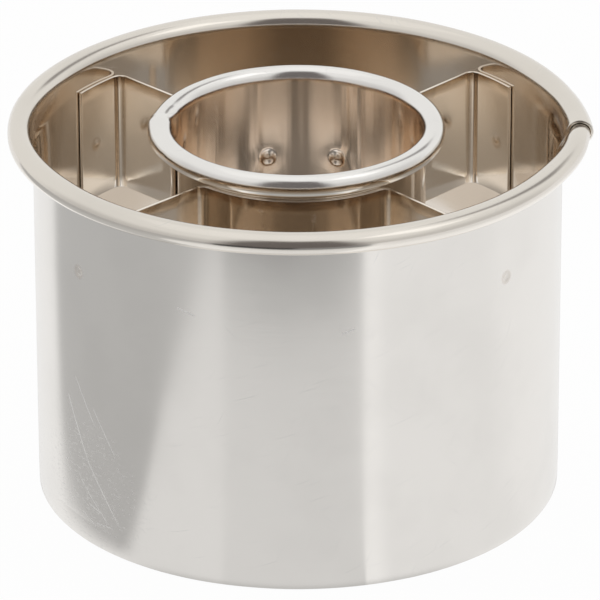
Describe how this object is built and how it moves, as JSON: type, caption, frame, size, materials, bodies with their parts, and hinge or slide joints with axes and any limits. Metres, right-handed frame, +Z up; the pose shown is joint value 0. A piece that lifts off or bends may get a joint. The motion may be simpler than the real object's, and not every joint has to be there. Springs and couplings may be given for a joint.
{
  "type": "donut cutter",
  "caption": "Sheet steel donut cutter: a large rolled-rim cutting ring with a smaller ring held in its middle by hat-shaped straps, spot welded.",
  "frame": {"origin": "on the common axis of both rings, level with their cutting edges", "axes": "+Z up from the cutting edges to the rolled rims; +X towards the lap seam of the outer ring; the straps lie in front (-Y) and behind (+Y)"},
  "size_m": [0.0982, 0.0972, 0.0661],
  "materials": {
    "outer_ring_steel": "bright rolled stainless sheet, soft reflections, fine scratches",
    "inner_ring_steel": "bright rolled stainless sheet, soft reflections",
    "strap_steel": "rolled stainless strip with faint grain along its length",
    "weld_metal": "dull fused steel between the sheets"
  },
  "bodies": {
    "root": {"outer_ring": "outer_ring_steel", "inner_ring": "inner_ring_steel", "front_strap": "strap_steel", "rear_strap": "strap_steel", "front_left_foot_weld": "weld_metal", "front_right_foot_weld": "weld_metal", "rear_left_foot_weld": "weld_metal", "rear_right_foot_weld": "weld_metal", "front_left_ring_weld": "weld_metal", "front_right_ring_weld": "weld_metal", "rear_left_ring_weld": "weld_metal", "rear_right_ring_weld": "weld_metal", "outer_seam_weld_1": "weld_metal", "outer_seam_weld_2": "weld_metal", "outer_seam_weld_3": "weld_metal", "inner_seam_weld_1": "weld_metal", "inner_seam_weld_2": "weld_metal", "inner_seam_weld_3": "weld_metal"}
  },
  "joints": []
}
